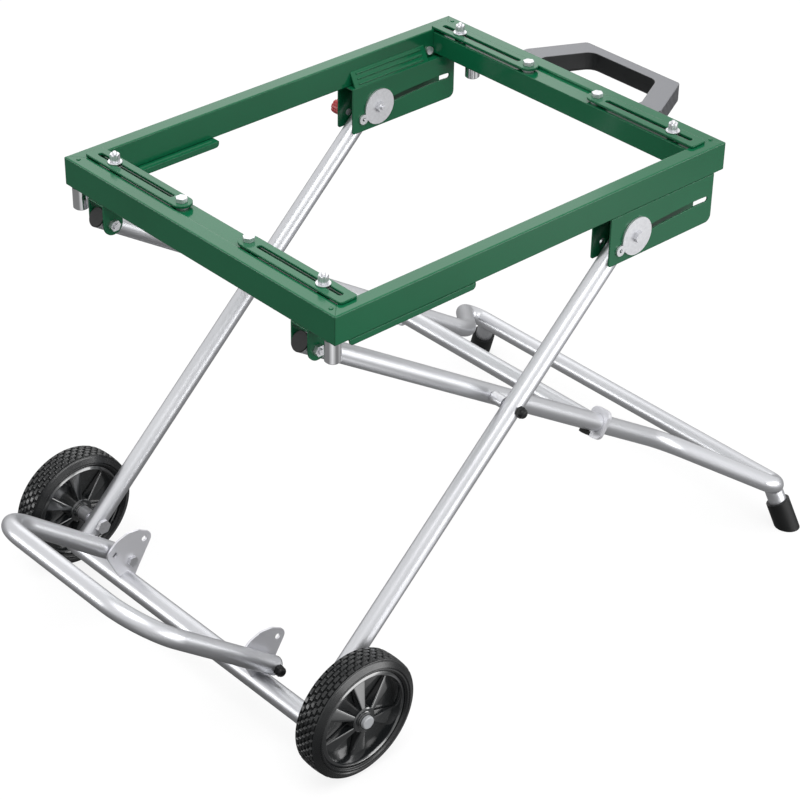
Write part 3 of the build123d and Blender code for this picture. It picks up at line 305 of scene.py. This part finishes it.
def make_piece(name, shells, body, materials, replaced, smooth_angle):
    """One object from closed shells, each a (grid, wrap rows, wrap columns, material number or number per column)."""
    points, faces, numbers, start = [], [], [], 0
    for grid, wrap_rows, wrap_columns, number in shells:
        rows, columns = grid.shape[:2]
        flat = grid.reshape(-1, 3)
        quads = outward(flat - flat.mean(0), sheet_faces(rows, columns, wrap_rows, wrap_columns))
        points.append(flat)
        faces.append(quads + start)
        numbers.append(np.resize(number, len(quads)))
        start += len(flat)
    mesh = bpy.data.meshes.new(name)
    mesh.from_pydata(np.concatenate(points).tolist(), [], np.concatenate(faces).tolist())
    mesh.polygons.foreach_set("material_index", np.concatenate(numbers).astype(np.int32))
    thing = bpy.data.objects.new(name, mesh)
    bpy.context.scene.collection.objects.link(thing)
    weld_and_shade(mesh, smooth_angle)
    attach(thing, body)
    dress(thing, *materials)
    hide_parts(*replaced)


def weld_and_shade(mesh, smooth_angle):
    """Closes poles by welding their points, then shades smooth but for edges past the angle, in degrees."""
    work = bmesh.new()
    work.from_mesh(mesh)
    bmesh.ops.remove_doubles(work, verts=work.verts, dist=1e-6)
    bmesh.ops.dissolve_degenerate(work, edges=work.edges, dist=1e-7)
    work.to_mesh(mesh)
    work.free()
    mesh.shade_smooth()
    mesh.set_sharp_from_angle(angle=math.radians(smooth_angle))
    mesh.update()


def round_axle(profile, centre, side, segments, lift=None):
    """A closed profile of (offset, radius) in mm turned about the axle: (radius cos t, side offset, radius sin t).

    lift(turn, offset) is added to the radius.
    """
    profile = np.asarray(profile, float)
    turn = np.linspace(0, 2 * math.pi, segments, endpoint=False)[:, None]
    offset, radius = profile[None, :, 0], profile[None, :, 1]
    if lift is not None:
        radius = radius + lift(turn, offset)
    radius = np.broadcast_to(radius, (segments, profile.shape[0]))
    grid = np.stack([radius * np.cos(turn), np.broadcast_to(side * offset, radius.shape), radius * np.sin(turn)], -1)
    return grid * MM + np.array(centre)


def upright(profile, centre, segments, reach=None):
    """A profile of (height, radius) in mm turned about an upright axis: (radius cos t, radius sin t, height).

    reach(turn, height, radius) gives the radius to use in place of the profile's.
    """
    profile = np.asarray(profile, float)
    turn = np.linspace(0, 2 * math.pi, segments, endpoint=False)[:, None]
    height, radius = profile[None, :, 0], profile[None, :, 1]
    if reach is not None:
        radius = reach(turn, height, radius)
    radius = np.broadcast_to(radius, (segments, profile.shape[0]))
    grid = np.stack([radius * np.cos(turn), radius * np.sin(turn), np.broadcast_to(height, radius.shape)], -1)
    return grid * MM + np.array(centre)


# The wheels

def wheel_place(side_name):
    """The wheel's middle on the axle: halfway between the corners of its CAD tyre's box."""
    low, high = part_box(f"tyre_{side_name}")
    return (np.array(low) + np.array(high)) / 2


def tyre_profile(half_width, radius, seat):
    """The closed line of (offset, radius) in mm round the tyre's section.

    The crown is a parabola that drops 0.9 mm at 14 mm from the middle. Each side goes on with an arc of an ellipse at
    the shoulder, a straight cone for the sidewall, a half-round bead and the edge of the flat seat.
    """
    bead_radius, seat_edge = 69.2, 17.0
    crown = [(x, radius - 0.9 * (x / 14) ** 2) for x in np.linspace(-14.5, 14.5, 59)]
    shoulder = [(half_width - 5.6 + 1.3 * math.sin(t), radius - 3.4 + 2.2 * math.cos(t)) for t in
                np.linspace(0.2, 1.1, 6)]
    cone = [(half_width - 4.3 + 4.1 * share, radius - 3.2 - 7 * share) for share in np.linspace(0, 1, 6)]
    bead = [(half_width - 2.2 + 1.8 * math.sin(t), bead_radius + 2 * math.cos(t)) for t in
            np.linspace(0.5, math.pi, 10)]
    right = shoulder + cone + bead + [(seat_edge, seat)]
    left = [(-x, r) for x, r in reversed(right)]
    return left + crown + right


def tread_lift(blocks):
    """The change of radius that cuts the crown into staggered rows of rounded blocks.

    A block runs from 0 in its middle to 1 at its edge, across its row and along it. The greater cube of the two, past
    the flat top, is the groove's share g, and the groove sinks by its depth times 3 g squared less 2 g cubed.
    """
    row_width = 2 * SHOULDER / TREAD_ROWS
    flat_top, flank = 0.36, 0.3

    def lift(turn, offset):
        """Nought off the crown, and on it less the groove's depth times its smoothed share."""
        row = np.floor((offset + SHOULDER) / row_width)
        across = np.abs(((offset + SHOULDER) / row_width) % 1 - 0.5) * 2
        along = np.abs((turn * blocks / (2 * math.pi) + 0.5 * (row % 2)) % 1 - 0.5) * 2
        edge = np.maximum(across ** 3, along ** 3)
        groove = np.clip((edge - flat_top) / flank, 0, 1)
        on_crown = np.abs(offset) < SHOULDER
        return np.where(on_crown, -GROOVE_DEPTH * groove * groove * (3 - 2 * groove), 0.0)
    return lift


def spoke_grid(centre, side, angle, reach, widths, base, tops):
    """A wedge spoke: a rounded box section that widens and gets lower from hub to rim, closed at both ends.

    Each section is a superellipse of power 6, and reach, widths and tops are its values in mm at hub and rim.
    """
    along = np.array([0, 0, 0.03, 0.2, 0.4, 0.6, 0.8, 0.97, 1, 1])
    size = np.array([0, 1, 1, 1, 1, 1, 1, 1, 1, 0])
    corner = np.linspace(0, 2 * math.pi, 32, endpoint=False) + math.pi / 32
    power = 2 / 6
    u = np.sign(np.cos(corner)) * np.abs(np.cos(corner)) ** power
    v = np.sign(np.sin(corner)) * np.abs(np.sin(corner)) ** power
    half = (widths[0] + (widths[1] - widths[0]) * along) / 2 * size
    distance = (reach[0] + (reach[1] - reach[0]) * along)[:, None]
    across = half[:, None] * u[None, :]
    top = tops[0] + (tops[1] - tops[0]) * along
    middle, rise = (base + top) / 2, (top - base) / 2 * size
    height = middle[:, None] + rise[:, None] * v[None, :]
    turned_x = distance * math.cos(angle) - across * math.sin(angle)
    turned_z = distance * math.sin(angle) + across * math.cos(angle)
    return np.stack([turned_x, side * height, turned_z], -1) * MM + np.array(centre)


class TyreSettings(bpy.types.PropertyGroup):
    """Sizes of the tyres"""
    blocks: bpy.props.IntProperty(
        name="Tread blocks", description="Blocks in each row of the tread", default=44, min=12)
    inner: bpy.props.FloatProperty(
        name="Seat radius", description="Radius of the tyre's seat, in mm", default=66.0)


class RimSettings(bpy.types.PropertyGroup):
    """Sizes of the spokes"""
    spokes: bpy.props.IntProperty(
        name="Spokes", description="Number of wedge spokes", default=6, min=3)
    root: bpy.props.FloatProperty(
        name="Root width", description="Width of a spoke at the hub, in mm", default=6.0)
    tip: bpy.props.FloatProperty(
        name="Tip width", description="Width of a spoke at the rim, in mm", default=25.0)


class LookSettings(bpy.types.PropertyGroup):
    """Tones of enamel and lacquer, as sRGB hex values"""
    enamel_low: bpy.props.StringProperty(
        name="Enamel, darker", description="Darker tone of the enamel", default="#0b5636")
    enamel_high: bpy.props.StringProperty(
        name="Enamel, lighter", description="Lighter tone of the enamel", default="#116542")
    tube_low: bpy.props.StringProperty(
        name="Tube, darker", description="Darker tone of the lacquer", default="#c3c4c8")
    tube_high: bpy.props.StringProperty(
        name="Tube, lighter", description="Lighter tone of the lacquer", default="#d0d1d4")


class StageSettings(bpy.types.PropertyGroup):
    """Place and lens of the camera"""
    azimuth: bpy.props.FloatProperty(
        name="Azimuth", description="Camera's bearing, in degrees", default=-42.81)
    elevation: bpy.props.FloatProperty(
        name="Elevation", description="Camera's height angle, in degrees", default=33.0)
    roll: bpy.props.FloatProperty(
        name="Roll", description="Camera's roll, in degrees", default=0.94)
    distance: bpy.props.FloatProperty(
        name="Distance", description="Camera to target", default=3.18335, unit="LENGTH")
    lens: bpy.props.FloatProperty(
        name="Lens", description="Focal length, in mm", default=109.37)
    aim_z: bpy.props.FloatProperty(
        name="Aim height", description="Height of the target", default=0.24967, unit="LENGTH")
    aim_x: bpy.props.FloatProperty(
        name="Aim along", description="Target along the stand", default=0.041314, unit="LENGTH")


class SAWSTAND_OT_finishes(bpy.types.Operator):
    """Gives every carried-over piece of the stand its finish"""
    bl_idname = "sawstand.finishes"
    bl_label = "Finishes"

    def execute(self, context):
        finishes.update(make_finishes(context.scene.sawstand_look))
        for part in frame["record"]["subparts"]:
            thing = frame["nodes"][part["node"]]
            dress(thing, FINISH_OF_SLOT[part["material_slot"]])
        dress(frame["nodes"]["leg_stops"], "chrome_plate")
        return {"FINISHED"}


class SAWSTAND_OT_tyres(bpy.types.Operator):
    """Moulds both tyres with their tread blocks and sidewall rings"""
    bl_idname = "sawstand.tyres"
    bl_label = "Tyres"

    def execute(self, context):
        settings = context.scene.sawstand_tyre
        for side_name, side in SIDES.items():
            low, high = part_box(f"tyre_{side_name}")
            half_width = (high[1] - low[1]) / 2 / MM
            radius = (high[2] - low[2]) / 2 / MM
            profile = tyre_profile(half_width, radius, settings.inner)
            grid = round_axle(profile, wheel_place(side_name), side, settings.blocks * STEPS_PER_BLOCK,
                              tread_lift(settings.blocks))
            # the tread is the first finish and the sidewalls, beyond the shoulders, are the second
            finish = [int(abs(offset) > SHOULDER) for offset, _ in profile]
            make_piece(f"treaded_tyre_{side_name}", [(grid, True, True, finish)], f"wheel_{side_name}",
                       ["tyre_rubber", "sidewall_rubber"], [f"tyre_{side_name}"], smooth_angle=50)
        return {"FINISHED"}


class SAWSTAND_OT_rims(bpy.types.Operator):
    """Moulds both rims: stepped rim ring, web, wedge spokes on both faces and the hub"""
    bl_idname = "sawstand.rims"
    bl_label = "Rims"

    def execute(self, context):
        settings = context.scene.sawstand_rim
        # profiles of (offset, radius) in mm
        flange = [(15.2, 66), (15.8, 65.9), (17.9, 62.3), (18.1, 61.7), (17.8, 61.1), (16.8, 60.6)]
        ring = [(-x, r) for x, r in flange[::-1]] + flange + [(15, 60), (8, 59), (0, 58.5), (-8, 59), (-15, 60)]
        web = [(-1.5, 15), (-1.5, 59.5), (1.5, 59.5), (1.5, 15)]
        hub = [(-20, 6.3), (-20, 10.5), (-19.2, 11.3), (-17.5, 11.3), (-17, 12), (-17, 15.5), (-16, 16.8),
               (0, 17.2), (16, 16.8), (17, 15.5), (17, 12), (17.5, 11.3), (19.2, 11.3), (20, 10.5), (20, 6.3)]
        # a spoke's reach from the axle, its foot in the web, and its top's offset at hub and rim
        reach, base, tops = (15.5, 60), 1.2, (16, 5)
        widths = (settings.root, settings.tip)
        for side_name, side in SIDES.items():
            centre = wheel_place(side_name)
            shells = [(round_axle(ring, centre, side, 160), True, True, 0),
                      (round_axle(web, centre, side, 96), True, True, 1),
                      (round_axle(hub, centre, side, 72), True, True, 0)]
            for number in range(settings.spokes):
                angle = math.pi / 2 + number * 2 * math.pi / settings.spokes
                for face in (1, -1):
                    spoke = spoke_grid(centre, side * face, angle, reach, widths, base, tops)
                    shells.append((spoke, False, True, 0))
            make_piece(f"spoked_rim_{side_name}", shells, f"wheel_{side_name}",
                       ["rim_polypropylene", "web_polypropylene_painted_shade"], [f"rim_{side_name}"], smooth_angle=30)
        return {"FINISHED"}


class SAWSTAND_OT_saw_bolts(bpy.types.Operator):
    """Cuts the threads of the four saw bolts and chamfers their nuts"""
    bl_idname = "sawstand.saw_bolts"
    bl_label = "Saw bolts"

    def execute(self, context):
        for end_name in ENDS:
            for side_name in SIDES:
                node = f"saw_bolt_{end_name}_{side_name}"
                low, high = (np.array(corner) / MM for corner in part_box(node))
                centre = np.array([(low[0] + high[0]) / 2, (low[1] + high[1]) / 2, 0]) * MM
                make_piece(f"threaded_{node}", self.shells(low[2], high[2], centre), node, ["zinc_plate"],
                           [node], smooth_angle=28)
        return {"FINISHED"}

    def shells(self, bottom, top, centre):
        """Head, threaded shank, washer and nut, each a profile of (height, radius) in mm.

        The thread is a ridge that climbs 1 mm a turn, a straight wave of height less turn. The nut's radius is its
        half width over the cosine of the angle from the nearest flat's middle, where that is less than its chamfer.
        """
        shank_radius, half_flats, sixth = 2.75, 5.5, math.pi / 3
        washer = bottom + 6.2
        nut = washer + 1.6
        head = [(bottom, 0), (bottom, 6.6), (bottom + 0.4, 7), (bottom + 2.2, 7), (bottom + 2.6, 6.6),
                (bottom + 2.6, 0)]
        stations = np.arange(bottom + 2.4, top - 0.9, 1 / 6)
        shank = ([(bottom + 2.4, 0)] + [(z, shank_radius) for z in stations]
                 + [(top - 0.5, 2.4), (top, 2.0), (top, 0)])
        ring = [(washer, 3.1), (washer, 8.8), (washer + 0.3, 9), (washer + 1.3, 9), (washer + 1.6, 8.8),
                (washer + 1.6, 3.1)]
        wall = [(nut, 3.05), (nut, half_flats), (nut + 0.7, 6.35), (nut + 9.3, 6.35), (nut + 10, half_flats),
                (nut + 10, 3.05)]

        def thread(turn, height, radius):
            """The shank's radius less 0.3 mm, plus 0.55 mm times the wave; other radii stay."""
            wave = np.abs((height - turn / (2 * math.pi)) % 1 - 0.5) * 2
            return np.where(radius == shank_radius, radius - 0.3 + 0.55 * wave, radius)

        def hexagon(turn, height, radius):
            """The lesser of the flat's distance and the chamfer's radius; the bore stays."""
            flat = half_flats / np.cos((turn + sixth / 2) % sixth - sixth / 2)
            return np.where(radius > 4, np.minimum(flat, radius), radius)

        return [(upright(head, centre, 48), True, False, 0), (upright(shank, centre, 36, thread), True, False, 0),
                (upright(ring, centre, 64), True, True, 0), (upright(wall, centre, 72, hexagon), True, True, 0)]


class SAWSTAND_OT_stage(bpy.types.Operator):
    """Sets the pale floor, the soft lamps, the sky and the camera"""
    bl_idname = "sawstand.stage"
    bl_label = "Stage"

    def execute(self, context):
        settings = context.scene.sawstand_stage
        self.floor()
        self.sky(context.scene)
        middle = Vector((settings.aim_x, 0, settings.aim_z))
        for name, place, size, power in LAMPS:
            self.lamp(name, place, middle, size, power)
        self.camera(context.scene, settings, middle)
        return {"FINISHED"}

    def floor(self):
        """A square: white to the camera but for the object's shadow, grey to the light, pooled with light to gloss.

        A pool is painted light in reflections, or painted shadow where its level is negative, and adds its level
        times one less the distance from its middle over its radius.
        """
        mesh = bpy.data.meshes.new("studio_floor")
        mesh.from_pydata([(-FLOOR_REACH, -FLOOR_REACH, 0), (FLOOR_REACH, -FLOOR_REACH, 0),
                          (FLOOR_REACH, FLOOR_REACH, 0), (-FLOOR_REACH, FLOOR_REACH, 0)], [], [(0, 1, 2, 3)])
        floor = bpy.data.objects.new("studio_floor", mesh)
        bpy.context.scene.collection.objects.link(floor)
        material, tree = new_material("pale_floor")
        camera, shown = background_rays(tree)
        share = add_node(tree, "ShaderNodeMath", {0: shown, 1: GLOW_SHARE}, operation="MULTIPLY").outputs[0]
        tone = add_node(tree, "ShaderNodeMix", {
            0: camera, TONE_A: linear("#848484"), TONE_B: linear("#ffffff")}, data_type="RGBA").outputs[TONE_OUT]
        matt = add_node(tree, "ShaderNodeBsdfDiffuse", {"Color": tone}).outputs[0]
        place = add_node(tree, "ShaderNodeTexCoord").outputs["Object"]
        level = FLOOR_LEVEL
        # pools of painted light that gloss and glass see, and one painted shadow with a negative level
        for middle_x, middle_y, radius, lift in POOLS:
            centred = add_node(tree, "ShaderNodeMapping", {
                "Vector": place, "Location": (-middle_x / radius, -middle_y / radius, 0),
                "Scale": (1 / radius, 1 / radius, 1)}).outputs["Vector"]
            pool = add_node(
                tree, "ShaderNodeTexGradient", {"Vector": centred}, gradient_type="SPHERICAL").outputs["Fac"]
            level = add_node(
                tree, "ShaderNodeMath", {0: pool, 1: lift, 2: level}, operation="MULTIPLY_ADD").outputs[0]
        # a Mix node's plain numbers are its third and fourth sockets
        strength = add_node(tree, "ShaderNodeMix", {0: camera, 2: level, 3: 1.0}).outputs[0]
        glow = add_node(tree, "ShaderNodeEmission", {"Color": linear("#ffffff"), "Strength": strength}).outputs[0]
        both = add_node(tree, "ShaderNodeMixShader", {0: share, 1: matt, 2: glow}).outputs[0]
        add_node(tree, "ShaderNodeOutputMaterial", {"Surface": both})
        mesh.materials.append(material)

    def sky(self, scene):
        """White to the camera, gloss and glass; as a light, grey low down and bright overhead."""
        world = bpy.data.worlds.new("studio_sky")
        scene.world = world
        world.use_nodes = True
        tree = world.node_tree
        tree.nodes.clear()
        _, shown = background_rays(tree)
        place = add_node(tree, "ShaderNodeTexCoord").outputs["Generated"]
        height = add_node(tree, "ShaderNodeSeparateXYZ", {0: place}).outputs["Z"]
        ramp = add_node(tree, "ShaderNodeMapRange", {
            "Value": height, "From Min": 0.0, "From Max": 0.85, "To Min": 0.12, "To Max": 0.95}).outputs["Result"]
        soft = add_node(tree, "ShaderNodeBackground", {"Color": linear("#ffffff"), "Strength": ramp}).outputs[0]
        white = add_node(tree, "ShaderNodeBackground", {"Color": linear("#ffffff"), "Strength": 1.0}).outputs[0]
        both = add_node(tree, "ShaderNodeMixShader", {0: shown, 1: soft, 2: white}).outputs[0]
        add_node(tree, "ShaderNodeOutputWorld", {"Surface": both})

    def lamp(self, name, place, target, size, power):
        """A flat rectangular lamp at a place, facing the target."""
        light = bpy.data.lights.new(name, "AREA")
        light.shape = "RECTANGLE"
        light.size, light.size_y = size
        light.energy = power
        lamp = bpy.data.objects.new(name, light)
        bpy.context.scene.collection.objects.link(lamp)
        lamp.location = place
        lamp.rotation_euler = (target - Vector(place)).to_track_quat("-Z", "Y").to_euler()

    def camera(self, scene, settings, middle):
        """The camera looks from this azimuth and elevation at the target, turned by the roll."""
        azimuth, elevation, roll = (math.radians(v) for v in (settings.azimuth, settings.elevation, settings.roll))
        back = Vector((math.sin(azimuth) * math.cos(elevation), -math.cos(azimuth) * math.cos(elevation),
                       math.sin(elevation)))
        right = Vector((0, 0, 1)).cross(back).normalized()
        up = back.cross(right)
        turned_right = math.cos(roll) * right + math.sin(roll) * up
        turned_up = math.cos(roll) * up - math.sin(roll) * right
        view = Matrix((turned_right, turned_up, back)).transposed().to_4x4()
        view.translation = middle + back * settings.distance
        data = bpy.data.cameras.new("photo_camera")
        data.sensor_width = 36
        data.lens = settings.lens
        data.clip_end = 100
        camera = bpy.data.objects.new("photo_camera", data)
        scene.collection.objects.link(camera)
        camera.matrix_world = view
        scene.camera = camera
        scene.view_settings.view_transform = "Standard"


class SAWSTAND_PT_panel(bpy.types.Panel):
    """Lists the stand's pieces in the sidebar"""
    bl_idname = "SAWSTAND_PT_panel"
    bl_label = "Saw Stand"
    bl_space_type = "VIEW_3D"
    bl_region_type = "UI"
    bl_category = "Saw Stand"

    def draw(self, context):
        for step in STEPS:
            self.layout.operator(step.bl_idname, text=step.bl_label)
        for name in SETTINGS:
            group = getattr(context.scene, name)
            for key in group.__annotations__:
                self.layout.prop(group, key)


STEPS = (SAWSTAND_OT_finishes, SAWSTAND_OT_tyres, SAWSTAND_OT_rims, SAWSTAND_OT_saw_bolts, SAWSTAND_OT_stage)
SETTINGS = {"sawstand_look": LookSettings, "sawstand_tyre": TyreSettings, "sawstand_rim": RimSettings,
            "sawstand_stage": StageSettings}


def register():
    """Registers the settings, the operators and the panel, and gives every scene its settings."""
    for group in SETTINGS.values():
        bpy.utils.register_class(group)
    for step in STEPS:
        bpy.utils.register_class(step)
    bpy.utils.register_class(SAWSTAND_PT_panel)
    for name, group in SETTINGS.items():
        setattr(bpy.types.Scene, name, bpy.props.PointerProperty(type=group))


def unregister():
    """Takes back all that register did, in the opposite order."""
    for name in SETTINGS:
        delattr(bpy.types.Scene, name)
    bpy.utils.unregister_class(SAWSTAND_PT_panel)
    for step in reversed(STEPS):
        bpy.utils.unregister_class(step)
    for group in reversed(SETTINGS.values()):
        bpy.utils.unregister_class(group)


def main():
    """Registers the add-on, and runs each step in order."""
    register()
    for step in STEPS:
        group, name = step.bl_idname.split(".")
        getattr(getattr(bpy.ops, group), name)()


if __name__ == "__main__":
    main()
